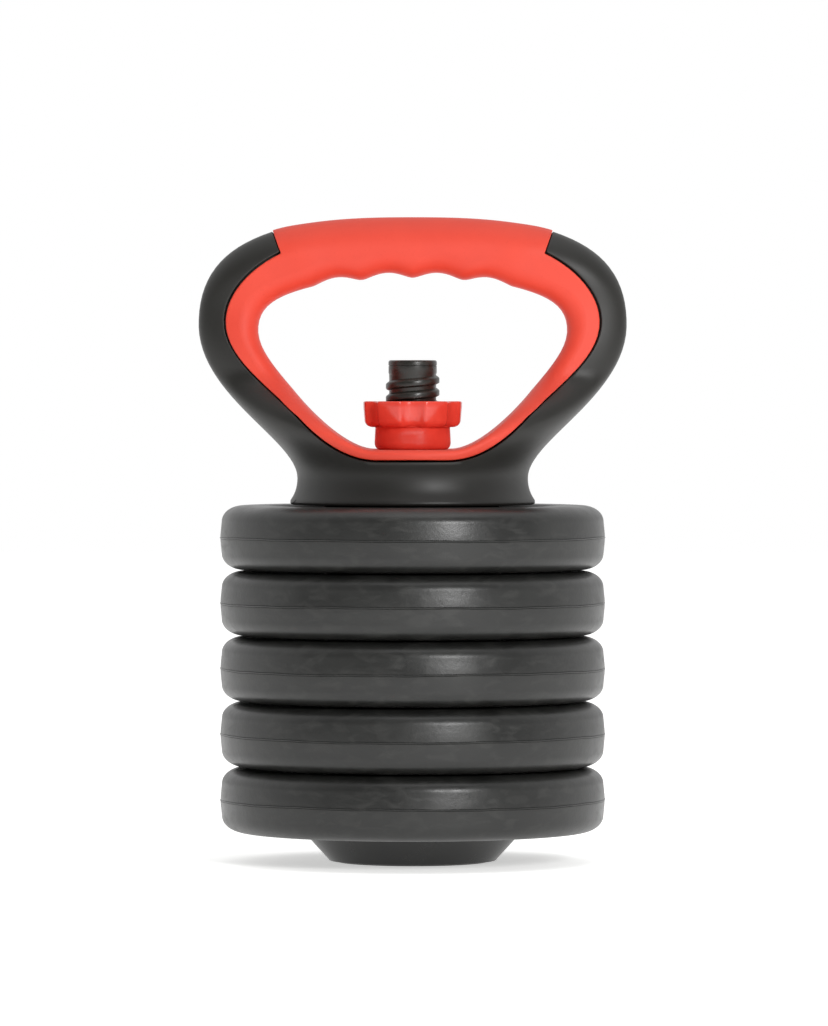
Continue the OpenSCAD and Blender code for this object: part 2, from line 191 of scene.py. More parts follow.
# %% Helpers for the finishes
def new_finish(name, roughness, specular=0.5):
    material = bpy.data.materials.new(name)
    material.use_nodes = True
    tree = material.node_tree
    shader = tree.nodes["Principled BSDF"]
    shader.inputs["Roughness"].default_value = roughness
    shader.inputs["Specular IOR Level"].default_value = specular
    place = tree.nodes.new("ShaderNodeTexCoord").outputs["Object"]
    return material, tree, shader, place


def noise(tree, place, grain_mm, detail=4, stretch=(1, 1, 1), turn=(0, 0, 0), warp=0):
    """Noise whose spots are about grain_mm wide, stretched and turned if wanted."""
    mapping = tree.nodes.new("ShaderNodeMapping")
    mapping.inputs["Scale"].default_value = stretch
    mapping.inputs["Rotation"].default_value = turn
    tree.links.new(place, mapping.inputs["Vector"])
    node = tree.nodes.new("ShaderNodeTexNoise")
    node.inputs["Scale"].default_value = 1 / (grain_mm * MM)
    node.inputs["Detail"].default_value = detail
    node.inputs["Distortion"].default_value = warp
    tree.links.new(mapping.outputs["Vector"], node.inputs["Vector"])
    return node.outputs["Fac"]


def ramp(tree, value, *stops):
    """Turns a value into grey levels or colours at the given places."""
    node = tree.nodes.new("ShaderNodeValToRGB")
    points = node.color_ramp.elements
    while len(points) < len(stops):
        points.new(0.5)
    for point, (place, colour) in zip(points, stops):
        point.position = place
        point.color = (*colour, 1) if isinstance(colour, tuple) else (colour,) * 3 + (1,)
    tree.links.new(value, node.inputs["Fac"])
    return node.outputs["Color"]


def mix(tree, a, b, share, how="MIX"):
    """Mixes two colours by a share, which is a number or another output."""
    node = tree.nodes.new("ShaderNodeMix")
    node.data_type = "RGBA"
    node.blend_type = how
    for socket, value in (("Factor_Float", share), ("A_Color", a), ("B_Color", b)):
        target = next(i for i in node.inputs if i.identifier == socket)
        if isinstance(value, bpy.types.NodeSocket):
            tree.links.new(value, target)
        elif socket == "Factor_Float":
            target.default_value = value
        else:
            target.default_value = (*value, 1)
    return next(o for o in node.outputs if o.identifier == "Result_Color")


def bump(tree, shader, *layers):
    """Stacks bumps. Each layer is an output and its height in millimetres."""
    last = None
    for height, depth_mm in layers:
        node = tree.nodes.new("ShaderNodeBump")
        node.inputs["Distance"].default_value = depth_mm * MM
        tree.links.new(height, node.inputs["Height"])
        if last is not None:
            tree.links.new(last, node.inputs["Normal"])
        last = node.outputs["Normal"]
    tree.links.new(last, shader.inputs["Normal"])


def give(piece, material):
    piece.data.materials.clear()
    piece.data.materials.append(material)


# %% [markdown]
# Plate vinyl is charcoal, with a fine grain, long soft waves from the blow mould, and pale
# rubbed streaks where the plates have slid against each other. The waves matter most: they
# break the highlight into the soft cloudy patch that tells vinyl from hard plastic.

# %% Plate vinyl
vinyl, tree, shader, place = new_finish("plate_vinyl", 0.35, 0.5)
cloud = noise(tree, place, 26, 3, (1, 1, 1.2))
streak = noise(tree, place, 11, 5, (1, 1, 2.2), (0.5, 0.35, 0), 0.6)
grain = noise(tree, place, 0.6, 2)
speck = noise(tree, place, 1.7, 3)
rubbed = ramp(tree, streak, (0.5, 0.0), (0.8, 1.0))
tone = ramp(tree, cloud, (0.3, (0.010, 0.0102, 0.0095)), (0.7, (0.016, 0.0164, 0.0152)))
tree.links.new(mix(tree, tone, (0.028, 0.028, 0.026), rubbed), shader.inputs["Base Color"])
gloss = mix(tree, ramp(tree, cloud, (0.3, 0.31), (0.7, 0.39)), (0.46, 0.46, 0.46), rubbed)
tree.links.new(gloss, shader.inputs["Roughness"])
bump(tree, shader, (cloud, 0.42), (streak, 0.03), (speck, 0.05), (grain, 0.03))

# %% [markdown]
# The handle's frame is satin polypropylene. It is smoother than the vinyl, nearly black, and
# has a fine even spark-eroded grain, with faint flow marks from the mould.

# %% Satin frame plastic and rod plastic
frame_plastic, tree, shader, place = new_finish("frame_plastic", 0.48, 0.45)
flow = noise(tree, place, 26, 3, (1, 1, 0.5))
grain = noise(tree, place, 0.45, 2)
tone = ramp(tree, flow, (0.3, (0.0095, 0.0088, 0.0072)), (0.7, (0.0125, 0.0118, 0.0098)))
tree.links.new(tone, shader.inputs["Base Color"])
tree.links.new(ramp(tree, flow, (0.3, 0.44), (0.7, 0.52)), shader.inputs["Roughness"])
bump(tree, shader, (flow, 0.06), (grain, 0.010))

rod_plastic, tree, shader, place = new_finish("rod_plastic", 0.34)
rub = noise(tree, place, 5, 4, (1, 1, 3))
grain = noise(tree, place, 0.5, 2)
tone = ramp(tree, rub, (0.35, (0.010, 0.0095, 0.007)), (0.72, (0.020, 0.019, 0.015)))
tree.links.new(tone, shader.inputs["Base Color"])
tree.links.new(ramp(tree, rub, (0.3, 0.27), (0.7, 0.42)), shader.inputs["Roughness"])
bump(tree, shader, (rub, 0.05), (grain, 0.008))

# %% [markdown]
# The grip is a soft overmoulded rubber. Its red is matte with a very fine leather-like grain.
# The nut is the same red in a hard, glossier plastic, whose highlights are sharp.

# %% Red rubber and red nut plastic
grip_rubber, tree, shader, place = new_finish("grip_rubber", 0.56, 0.42)
shade = noise(tree, place, 30, 3)
pore = noise(tree, place, 1.1, 3, warp=0.4)
grain = noise(tree, place, 0.5, 2)
tone = ramp(tree, shade, (0.3, (0.66, 0.046, 0.022)), (0.7, (0.72, 0.058, 0.030)))
tree.links.new(mix(tree, tone, (0.58, 0.036, 0.018), ramp(tree, pore, (0.6, 0.0), (0.8, 0.5))),
    shader.inputs["Base Color"])
tree.links.new(ramp(tree, shade, (0.3, 0.52), (0.7, 0.62)), shader.inputs["Roughness"])
bump(tree, shader, (shade, 0.05), (pore, 0.025), (grain, 0.012))

nut_plastic, tree, shader, place = new_finish("nut_plastic", 0.18, 0.6)
shade = noise(tree, place, 12, 3)
grain = noise(tree, place, 0.8, 3)
tone = ramp(tree, shade, (0.3, (0.70, 0.052, 0.032)), (0.7, (0.78, 0.070, 0.044)))
tree.links.new(tone, shader.inputs["Base Color"])
tree.links.new(ramp(tree, shade, (0.3, 0.15), (0.7, 0.22)), shader.inputs["Roughness"])
bump(tree, shader, (shade, 0.05), (grain, 0.006))

# %% [markdown]
# The base disc is the glossiest part. Under and inside the stack are plain industrial
# finishes: rubber, drawn steel tube, cement and the filler plugs.

# %% Base, rubber, steel, cement and plugs
base_gloss, tree, shader, place = new_finish("base_plastic", 0.22, 0.55)
haze = noise(tree, place, 14, 4)
fine = noise(tree, place, 0.6, 2)
tree.links.new(ramp(tree, haze, (0.3, (0.009, 0.009, 0.0085)), (0.7, (0.014, 0.014, 0.013))),
    shader.inputs["Base Color"])
tree.links.new(ramp(tree, haze, (0.3, 0.19), (0.75, 0.30)), shader.inputs["Roughness"])
bump(tree, shader, (haze, 0.03), (fine, 0.003))

pad_rubber, tree, shader, place = new_finish("pad_rubber", 0.8, 0.3)
dust = noise(tree, place, 3, 5)
grain = noise(tree, place, 0.4, 2)
tree.links.new(ramp(tree, dust, (0.35, (0.012, 0.012, 0.012)), (0.8, (0.045, 0.043, 0.040))),
    shader.inputs["Base Color"])
bump(tree, shader, (grain, 0.03))

steel, tree, shader, place = new_finish("drawn_steel", 0.35)
shader.inputs["Metallic"].default_value = 1
draw = noise(tree, place, 0.6, 4, (1, 1, 0.03))
tree.links.new(ramp(tree, draw, (0.3, (0.42, 0.42, 0.43)), (0.7, (0.58, 0.58, 0.59))),
    shader.inputs["Base Color"])
tree.links.new(ramp(tree, draw, (0.3, 0.28), (0.7, 0.45)), shader.inputs["Roughness"])
bump(tree, shader, (draw, 0.01))

cement, tree, shader, place = new_finish("cement", 0.92, 0.3)
sand = noise(tree, place, 1.2, 5)
blotch = noise(tree, place, 20, 4)
tree.links.new(mix(tree, ramp(tree, blotch, (0.3, (0.33, 0.32, 0.30)), (0.7, (0.46, 0.45, 0.42))),
    (0.20, 0.19, 0.18), ramp(tree, sand, (0.55, 0.0), (0.75, 0.8))), shader.inputs["Base Color"])
bump(tree, shader, (sand, 0.25))

plug_plastic, tree, shader, place = new_finish("plug_plastic", 0.5)
mark = noise(tree, place, 2.5, 4)
tree.links.new(ramp(tree, mark, (0.3, (0.010, 0.010, 0.010)), (0.7, (0.022, 0.022, 0.021))),
    shader.inputs["Base Color"])
bump(tree, shader, (mark, 0.02))
print("finishes", len(bpy.data.materials))

# %% [markdown]
# ## A plate
# Each plate is a blow-moulded vinyl skin filled with cement. Its rim has soft shoulders, a
# nearly straight flank and a thin parting line where the two mould halves met. The line wanders
# a little, so after the lathe its vertices are pushed up and down by slow waves. One plate is
# modelled and then copied, each copy with its own mesh and its own phase of the wave.

# %% Model a plate
plate_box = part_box("plate_1_shell")
rim_r = plate_box[1].x / MM + 0.7
hub_half = (plate_box[1].z - plate_box[0].z) / 2 / MM - 0.04
rim_half, web_half, bore_r = hub_half - 0.35, 11.3, 14.75
recess_r, hub_r, flank_r = 74.5, 46.0, rim_r - 0.3
shoulder_w, shoulder_h = 11.0, 8.3


def plate_half():
    """The upper half of a plate's section, from its bore out to the parting line."""
    shoulder = (flank_r - 0.7 - shoulder_w, rim_half - shoulder_h)
    return ([(bore_r, 0.0), (bore_r, hub_half - 1)]
        + arc((bore_r + 1, hub_half - 1), 1, 1, 180, 90, 4)
        + arc((hub_r - 2, hub_half - 2), 2, 2, 90, 0, 6)
        + arc((hub_r + 2, web_half + 2), 2, 2, 180, 270, 6)
        + arc((recess_r - 2, web_half + 2), 2, 2, 270, 360, 6)
        + arc((recess_r + 1.8, rim_half - 1.8), 1.8, 1.8, 180, 90, 6)
        + arc(shoulder, shoulder_w, shoulder_h, 90, 0, 16)
        + [(flank_r - 0.35, 5.0), (flank_r - 0.1, 2.4), (flank_r, 0.6), (flank_r - 0.16, 0.42),
            (rim_r - 0.08, 0.18)])


upper = plate_half()
profile = upper + [(rim_r, 0.0)] + [(r, -z) for r, z in reversed(upper) if z > 0]
first_plate = turned("plate_1_skin", profile, 192)
cut(first_plate, drill(8, -web_half - 1, -web_half + 2.5, (60.25, 0), 48))
print("plate", size_of(first_plate), "faces, parting line at", rim_r, "mm")

# %% Copy the plate up the rod
plates = []
for n in range(1, len(plate_mid) + 1):
    if n > 1:
        only(first_plate)
        bpy.ops.object.duplicate()
        plates.append(bpy.context.object)
        plates[-1].name = plates[-1].data.name = f"plate_{n}_skin"
    else:
        plates.append(first_plate)
for n, (skin, middle) in enumerate(zip(plates, plate_mid), 1):
    for v in skin.data.vertices:
        r = math.hypot(v.co.x, v.co.y) / MM
        if r > flank_r - 0.6:
            a = math.atan2(v.co.y, v.co.x)
            wave = 0.22 * math.sin(3 * a + 1.7 * n) + 0.12 * math.sin(11 * a + n) \
                + 0.07 * math.sin(29 * a + 2.3 * n)
            near = max(0, 1 - abs(v.co.z) / MM / 6)
            v.co.z += wave * near * MM
    only(skin)
    bpy.ops.transform.translate(value=(0, 0, middle * MM))
    settle(skin)
    smooth_piece(skin, 40)
    give(skin, vinyl)
    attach(skin, f"plate_{n}")
    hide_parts(f"plate_{n}_shell")
    give(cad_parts[f"plate_{n}_fill"], cement)
    give(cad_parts[f"plate_{n}_plug"], plug_plastic)
print(len(plates), "plates")

# %% [markdown]
# ## The base
# The base is an upside-down cone whose steep side mirrors the white table. It holds a rubber
# ring, which is ribbed so that it grips, and a pocket for the rod's six-sided head.

# %% Base disc and rubber foot
base_low, base_high = 44.2, 55.8
side = arc((base_low - 1.2, 1.8), 1.2, 1.2, 270, 348, 5) \
    + arc((base_high - 1.1, base_top - 1.1), 1.1, 1.1, -12, 90, 6)
base = turned("base_cone", [(14.0, base_top), (14.0, 8.6), (23.5, 8.6), (23.5, 0.6), (27.9, 0.6),
    (27.9, 2.4), (40.1, 2.4), (40.1, 0.6)] + side, 192)
smooth_piece(base, 30)
give(base, base_gloss)
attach(base, "base")
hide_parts("base_disc")

tread = [(28.0, 2.4), (28.0, 0.4), (28.4, 0.0)]
for k in range(4):
    left = 30.2 + 2.6 * k
    tread += [(left, 0.0), (left + 0.4, 0.7), (left + 0.9, 0.7), (left + 1.3, 0.0)]
tread += [(39.6, 0.0), (40.0, 0.4), (40.0, 2.4)]
foot = turned("foot_ring", tread, 128)
smooth_piece(foot, 30)
give(foot, pad_rubber)
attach(foot, "base")
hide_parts("foot_pad")
print("base", size_of(base), "faces, foot", size_of(foot), "faces")

# %% [markdown]
# ## The threaded rod
# The rod is a plastic sleeve over a steel tube, with a coarse single thread. The thread is one
# small closed outline carried up a helix by the Screw modifier: a right-hand thread rises to
# the right as one looks at it. Its ends are closed, and it sinks a little into the core.

# %% A helical ridge
pitch = 6.5
thread_low = 144.55


def helix(name, outline, z, turns, steps=64):
    """Sweeps a closed outline of (radius, height) points in millimetres up a helix."""
    ridge = drawn_line(name, outline, z)
    leave_edit()
    screw = ridge.modifiers.new("screw", "SCREW")
    screw.axis = "Z"
    screw.angle = 2 * math.pi * turns
    screw.screw_offset = pitch * MM * turns
    screw.steps = screw.render_steps = int(steps * turns)
    screw.use_smooth_shade = True
    only(ridge)
    bpy.ops.object.modifier_apply(modifier=screw.name)
    edit(ridge)
    bpy.ops.mesh.select_all(action="DESELECT")
    bpy.ops.mesh.select_non_manifold()
    bpy.ops.mesh.edge_face_add()
    leave_edit()
    close_up(ridge)
    return ridge


# %% Turn the rod and add its thread
root_r, crest_r = 12.3, 14.0
ridge_outline = [(root_r - 0.6, 0.65), (root_r, 0.65), (crest_r - 0.45, 1.25),
    (crest_r - 0.12, 1.5), (crest_r, 1.9), (crest_r, 3.75), (crest_r - 0.12, 4.15),
    (crest_r - 0.45, 4.5),
    (root_r, 5.46), (root_r - 0.6, 5.46)]
rod = turned("threaded_rod", [(10.0, 8.4), (crest_r, 8.4), (crest_r, thread_low - 1.2),
    (root_r, thread_low), (root_r, rod_top - 7.4), (root_r + 0.3, rod_top - 6.6),
    (root_r + 0.3, rod_top - 3.1), (root_r + 0.05, rod_top - 2.95), (root_r + 0.05, rod_top - 2.75),
    (root_r + 0.35, rod_top - 2.6)]
    + arc((root_r - 0.75, rod_top - 1.1), 1.1, 1.1, 0, 90, 5)
    + [(6.0, rod_top), (5.4, rod_top - 0.5), (0.02, rod_top - 0.5), (0.02, rod_top - 10.0),
        (10.0, rod_top - 10.0)], 128)
ridge = helix("ridge", ridge_outline, thread_low, 16)
start_piece()
bpy.ops.mesh.primitive_cylinder_add(vertices=6, radius=20 / math.cos(math.pi / 6) * MM,
    depth=6 * MM, location=(0, 0, 5.4 * MM))
head = bpy.context.object
settle(head)
edit(head)
bpy.ops.mesh.bevel(offset=0.8 * MM, segments=2)
leave_edit()
join_to(rod, head, ridge)
smooth_piece(rod, 32)
give(rod, rod_plastic)
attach(rod, "base")
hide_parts("rod_sleeve")
give(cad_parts["rod_tube"], steel)
print("rod", size_of(rod), "faces, thread pitch", pitch, "mm")

# %% [markdown]
# ## The nut
# Six finger flutes are pressed into a ring over a plain collar. The ring could be cut with six
# cylinders, but then every sharp edge would need a bevel. Turning it and drawing its vertices
# in to a fluted outline keeps one clean surface, with the lobes rounded from the start.

# %% Turn the nut and press in its flutes
nut_r, collar_r, collar_top, nut_top = 25.8, 19.9, 11.7, 25.2
flute_r, flute_far = 10.0, 32.6
thread_r = root_r + 0.35
wall_r = crest_r + 0.35
ring = arc((nut_r - 4.6, collar_top + 3.8), 4.0, 3.8, 270, 350, 8) \
    + [(nut_r - 0.35, collar_top + 7.0), (nut_r - 0.1, collar_top + 10.0)] \
    + arc((nut_r - 0.9, nut_top - 0.9), 0.9, 0.9, 0, 90, 5)
nut_profile = [(wall_r, 2.9), (16.7, 2.9), (16.7, 0.0)] \
    + arc((collar_r - 2.6, 3.6), 2.6, 3.6, 270, 360, 8) \
    + [(collar_r - 0.1, 7.0), (collar_r - 0.3, collar_top - 0.4), (collar_r - 0.1, collar_top)] \
    + ring + [(wall_r + 1.2, nut_top), (wall_r, nut_top - 1.2)]
nut = turned("lobed_nut", [(r, z + seat) for r, z in nut_profile], 240)


def lobed_radius(a):
    """The lobed outline's radius at an angle, with its corners rounded."""
    off = math.degrees(a) % 60 - 30
    b = math.radians(off)
    inside = flute_r ** 2 - (flute_far * math.sin(b)) ** 2
    flute = flute_far * math.cos(b) - math.sqrt(inside) if inside > 0 else nut_r + 4
    soft = 1.1
    h = max(0.0, soft - abs(flute - nut_r)) / soft
    return min(flute, nut_r) - h * h * soft / 4


for v in nut.data.vertices:
    r, z = math.hypot(v.co.x, v.co.y) / MM, v.co.z / MM - seat
    if z > collar_top + 0.01 and r > collar_r:
        a = math.atan2(v.co.y, v.co.x)
        limit = lobed_radius(a)
        k = (limit - (nut_r - r) - collar_r) / (nut_r - (nut_r - r) - collar_r + 1e-9)
        new_r = collar_r + (r - collar_r) * max(0.0, k) if r < nut_r - 3 else limit - (nut_r - r)
        v.co.x *= new_r / r
        v.co.y *= new_r / r
inner_outline = [(wall_r + 0.6, -1.55), (wall_r, -1.55), (thread_r, -0.5), (thread_r, 0.5),
    (wall_r, 1.55), (wall_r + 0.6, 1.55)]
turns_up = math.floor((seat + 4 - thread_low) / pitch)
inner_low = thread_low + turns_up * pitch + 0.97 * pitch - 0.05
inner = helix("inner_ridge", inner_outline, inner_low, 2.3)
join_to(nut, inner)
smooth_piece(nut, 40)
give(nut, nut_plastic)
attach(nut, "nut")
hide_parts("star_nut")
give(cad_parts["nut_washer"], pad_rubber)
print("nut", size_of(nut), "faces")

# %% [markdown]
# ## The handle
# The handle is one moulding in two materials: a black frame whose round foot rises into two
# arms, and a red grip that fills the inside of the loop and wraps the top. Both are rings
# around the same hole, so both start from a torus. Every vertex of a torus is known by how far
# it is round the loop and round the section, and it is moved to that place on the drawn
# outlines. A box model with Boolean cuts would need every edge repaired; this keeps the seam,
# the mouth of the loop and the finger hollows as clean rows of faces.

# %% The handle's outlines
def bezier(a, b, c, d, n=80):
    t = np.linspace(0, 1, n + 1)[:, None]
    a, b, c, d = (np.array(p, float) for p in (a, b, c, d))
    return (1 - t) ** 3 * a + 3 * (1 - t) ** 2 * t * b + 3 * (1 - t) * t * t * c + t ** 3 * d


def ease(t):
    t = np.clip(t, 0, 1)
    return t * t * (3 - 2 * t)


def lerp(a, b, t):
    return a + (b - a) * t


half_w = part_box("handle_frame")[1].x / MM
top_h, saddle_h = 149.6, 28.8
outer_half = np.vstack([
    np.array(arc((62.5, 1.5), 1.5, 1.5, 270, 360, 8)),
    bezier((63.8, 2.4), (62, 5), (60.2, 8.4), (60.2, 14), 40),
    bezier((60.2, 14), (60.2, 33.5), (half_w + 0.5, 57), (half_w + 0.5, 94)),
    bezier((half_w + 0.5, 94), (half_w + 0.5, 119.5), (99, 134), (73.5, 142.4)),
    bezier((73.5, 142.4), (50, 149.1), (24.7, top_h), (0, top_h))])


def hollow(x):
    """Height of the grip's underside, with its four finger hollows."""
    s = np.abs(np.sin(np.pi * x / 26.6))
    return 118.5 - 0.0017 * x * x + 3.9 * (np.sqrt(s * s + 0.1) - 0.316)


across = np.linspace(53.2, 0, 160)
inner_half = np.vstack([
    [(0, saddle_h), (10, saddle_h), (20, saddle_h)],
    bezier((20, saddle_h), (33, saddle_h), (50.8, 45), (62, 59.5)),
    bezier((62, 59.5), (71, 70.5), (80.7, 81), (80.7, 91)),
    bezier((80.7, 91), (80.7, 103), (72.7, hollow(53.2) - 5), (53.2, hollow(53.2))),
    np.column_stack([across, hollow(across)])])
sleeve_low, sleeve_high = (69, 131.3), (73.3, 143.2)
seam_half = np.vstack([
    [(0, 23.1)],
    bezier((18, 23.1), (36, 23.1), (50, 35.3), (61, 47.2)),
    bezier((61, 47.2), (77, 62.6), (97.9, 77), (97.9, 95.5)),
    bezier((97.9, 95.5), (97.9, 110.4), (84.4, 124), sleeve_low),
    [sleeve_low, sleeve_high, (78.4, 158), (0, 175)]])
eye = np.array([0.0, 60.0])
foot_edge = 62.5
corner_angle = math.atan2(-eye[1], foot_edge)
print("outer line", len(outer_half), "points, loop", len(inner_half), "points")

# %% Distances from the middle of the loop
def reach(line, angle):
    """How far a drawn half line is from the eye of the loop, at an angle from level."""
    d = line - eye
    turn = np.unwrap(np.arctan2(d[:, 1], np.maximum(d[:, 0], 1e-9)))
    order = np.argsort(turn, kind="stable")
    far = np.hypot(d[:, 0], d[:, 1])
    t, f = turn[order], far[order]
    i = np.clip(np.searchsorted(t, angle), 1, len(t) - 1)
    a, b = d[order[i - 1]], d[order[i]]
    ray = np.array([math.cos(angle), math.sin(angle)])
    side = b - a
    cross = ray[0] * side[1] - ray[1] * side[0]
    if abs(cross) < 1e-9:
        return f[i]
    return (a[0] * side[1] - a[1] * side[0]) / cross


def width_at(h):
    return np.interp(h, outer_half[:, 1], outer_half[:, 0])


def outer_reach(angle):
    down = -(eye[1]) / math.sin(angle) if angle < 0 else 1e9
    return down if angle <= corner_angle else reach(outer_half, angle)


def front(x, h, inset, grow):
    """Half depth of the handle at a place seen from the front, inset from its outline."""
    a = width_at(h) + grow
    body = lerp(a - grow, 19.0, ease((h - 20) / 50))
    b = lerp(body, 16.5, ease((h - 70) / 45)) + grow
    e = lerp(2.0, 4.0, ease((h - 20) / 50))
    arm = b * np.power(np.maximum(1 - np.power(np.clip(np.abs(x) / a, 0, 1), e), 0), 1 / e)
    bar = b * np.sqrt(1 - np.clip((18 - inset) / 18, 0, 1) ** 2)
    return lerp(arm, bar, ease((h - 100) / 30))


# %% [markdown]
# The columns of faces run from the inside of the loop outwards. They are close together where
# the outline turns sharply: at the foot's corner and at the ends of the grip's sleeve.

# %% Angles of the columns
angles = [math.atan2(-eye[1], foot_edge * math.sin(math.radians(a)))
    for a in np.arange(0, 90.1, 4.5)]
travel = 0.0
for p, q in zip(outer_half, outer_half[1:]):
    travel += float(np.hypot(*(q - p)))
    if travel > (0.6 if q[1] < 6 else 1.5 if q[1] < 20 else 2.2 if q[0] < 74 else 3.8):
        angles.append(math.atan2(q[1] - eye[1], q[0]))
        travel = 0.0
sleeve_end = [math.atan2(h - eye[1], x) for x, h in (sleeve_low, sleeve_high)]
angles += list(np.linspace(sleeve_end[0] - 0.01, sleeve_end[1] + 0.006, 12)) + [math.pi / 2]
angles = sorted(angles)
right = [angles[0]]
for a in angles[1:]:
    if a - right[-1] > math.radians(0.03):
        right.append(a)
right[-1] = math.pi / 2
columns = [(a, 1) for a in right] + [(a, -1) for a in reversed(right[1:-1])]
print(len(columns), "columns, and a torus takes 256 at most")

# %% A ring of sections
def ring_piece(name, section):
    """A torus whose sections are replaced by section(angle), a closed list of (x, h, y) rows."""
    sections = {a: np.array(section(a)) for a in right}
    rows = len(sections[right[0]])
    start_piece()
    bpy.ops.mesh.primitive_torus_add(major_segments=len(columns), minor_segments=rows,
        major_radius=0.1, minor_radius=0.02)
    piece = bpy.context.object
    piece.name = piece.data.name = name
    co = np.zeros((len(columns), rows, 3))
    for i, (a, hand) in enumerate(columns):
        s = sections[a]
        co[i, :, 0] = s[:, 0] * hand * MM
        co[i, :, 1] = -s[:, 2] * MM
        co[i, :, 2] = (s[:, 1] + stack_top) * MM
    piece.data.vertices.foreach_set("co", co.ravel())
    piece.data.update()
    settle(piece)
    close_up(piece)
    return piece


def at(angle, rho):
    return eye[0] + rho * np.cos(angle), eye[1] + rho * np.sin(angle)


def both_sides(half):
    """A section's front half, from its inner middle to its outer middle, closed by the back."""
    return half + [(x, h, -y) for x, h, y in reversed(half[1:-1])]


# %% [markdown]
# The grip stands half a millimetre proud of the frame, as a second shot of rubber does, and its
# edge along the seam is rounded. The mouth of the loop has a small radius over the saddle and a
# large one under the fingers.

# %% Section of the red grip
soft_gap, hard_gap, soft_edge = 0.7, 0.3, 0.75


def proud(angle):
    """How far the rubber stands out of the frame: most at the sleeve's ends."""
    return 0.45 + 0.45 * math.exp(-((angle - math.radians(51)) / 0.09) ** 2)


def grip_section(angle):
    grow = proud(angle)
    rho_in, rho_out = reach(inner_half, angle), outer_reach(angle) + grow
    rho_seam = reach(seam_half, angle) - soft_gap
    h_in = at(angle, rho_in)[1]
    r = float(lerp(3.2, 10.5, ease((h_in - saddle_h) / 34)))

    def y_at(rho):
        x, h = at(angle, rho)
        return float(front(x, h, rho_out - rho, grow))

    deep = y_at(rho_in + r)
    half = [(*at(angle, rho_in), (deep - r) * k) for k in (0, 0.35, 0.7, 1)]
    for k in range(1, 9):
        a = math.radians(90 * k / 8)
        rho = rho_in + r * (1 - math.cos(a))
        half.append((*at(angle, rho), y_at(rho) - r * (1 - math.sin(a))))
    start = rho_in + r
    if rho_seam < rho_out:
        edge = min(soft_edge, 0.45 * max(0.05, y_at(rho_seam)))
        for k in range(1, 19):
            rho = lerp(start, rho_seam - edge, k / 18)
            half.append((*at(angle, rho), y_at(rho)))
        for k in range(1, 5):
            a = math.radians(22.5 * k)
            rho = rho_seam - edge + edge * math.sin(a)
            half.append((*at(angle, rho), y_at(rho) - edge * (1 - math.cos(a))))
        last = half[-1][2]
        half += [(*at(angle, rho_seam), last * k) for k in (0.66, 0.33, 0)]
    else:
        for k in range(1, 26):
            rho = start + (rho_out - start) * math.sin(math.pi / 2 * k / 25)
            half.append((*at(angle, rho), y_at(rho) if k < 25 else 0.0))
    return both_sides([(float(x), float(h), float(y)) for x, h, y in half])


grip = ring_piece("soft_grip", grip_section)
cut(grip, drill(17.4, stack_top + 15, stack_top + 40))
smooth_piece(grip, 50)
give(grip, grip_rubber)
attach(grip, "handle")
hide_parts("grip_overmould")
print("grip", size_of(grip), "faces, size", [round(v / MM, 1) for v in grip.dimensions])

# %% [markdown]
# The frame shows from the seam outwards, and a flat core goes on inside the rubber. Its foot is
# a ring with a flat bottom.

# %% Section of the black frame
core_cover, core_half, hard_edge = 4.2, 9.0, 0.45


def frame_section(angle):
    rho_in, rho_out = reach(inner_half, angle), outer_reach(angle)
    rho_seam = reach(seam_half, angle) + hard_gap
    rho_core = rho_in + core_cover
    half = [(*at(angle, rho_core), 0.0), (*at(angle, rho_core), core_half - 0.8),
        (*at(angle, rho_core + 0.8), core_half)]
    if rho_seam >= rho_out - 0.05 or angle > sleeve_end[1]:
        rho_end = rho_out - 5
        for k in range(1, 31):
            half.append((*at(angle, lerp(rho_core + 0.8, rho_end, k / 30)), core_half))
        half += [(*at(angle, rho_end), core_half * k) for k in (0.6, 0.3, 0)]
        return both_sides([(float(x), float(h), float(y)) for x, h, y in half])

    def y_at(rho):
        x, h = at(angle, rho)
        return float(front(x, h, rho_out - rho, 0.0))

    edge = min(hard_edge, 0.45 * y_at(rho_seam), 0.45 * (rho_out - rho_seam))
    top = y_at(rho_seam + edge)
    step = min(core_half, 0.8 * (top - edge))
    half[1:3] = [(*at(angle, rho_core), step * 0.9), (*at(angle, rho_core + 0.8), step)]
    half += [(*at(angle, rho_seam), step), (*at(angle, rho_seam), lerp(step, top - edge, 0.5))]
    for k in range(4):
        a = math.radians(30 * k)
        rho = rho_seam + edge * (1 - math.cos(a))
        half.append((*at(angle, rho), y_at(rho_seam + edge) - edge * (1 - math.sin(a))))
    start = rho_seam + edge
    on_foot = angle <= corner_angle
    count = 24 if on_foot else 27
    for k in range(1, count + 1):
        rho = start + (rho_out - start) * math.sin(math.pi / 2 * k / count)
        half.append((*at(angle, rho), y_at(rho) if on_foot or k < count else 0.0))
    if on_foot:
        last = half[-1][2]
        half += [(*at(angle, rho_out), last * k) for k in (0.66, 0.33, 0)]
    return both_sides([(float(x), float(h), float(y)) for x, h, y in half])


body = ring_piece("handle_moulding", frame_section)
print("frame", size_of(body), "faces, size", [round(v / MM, 1) for v in body.dimensions])

# %% [markdown]
# Below, a mould core leaves the foot hollow, with a boss for the rod and eight ribs between the
# boss and the outer wall. One turned tool cuts the whole hollow and the ribs are put back as
# bars. Cutting eight separate pockets would give the same shape with eight cuts to go wrong.

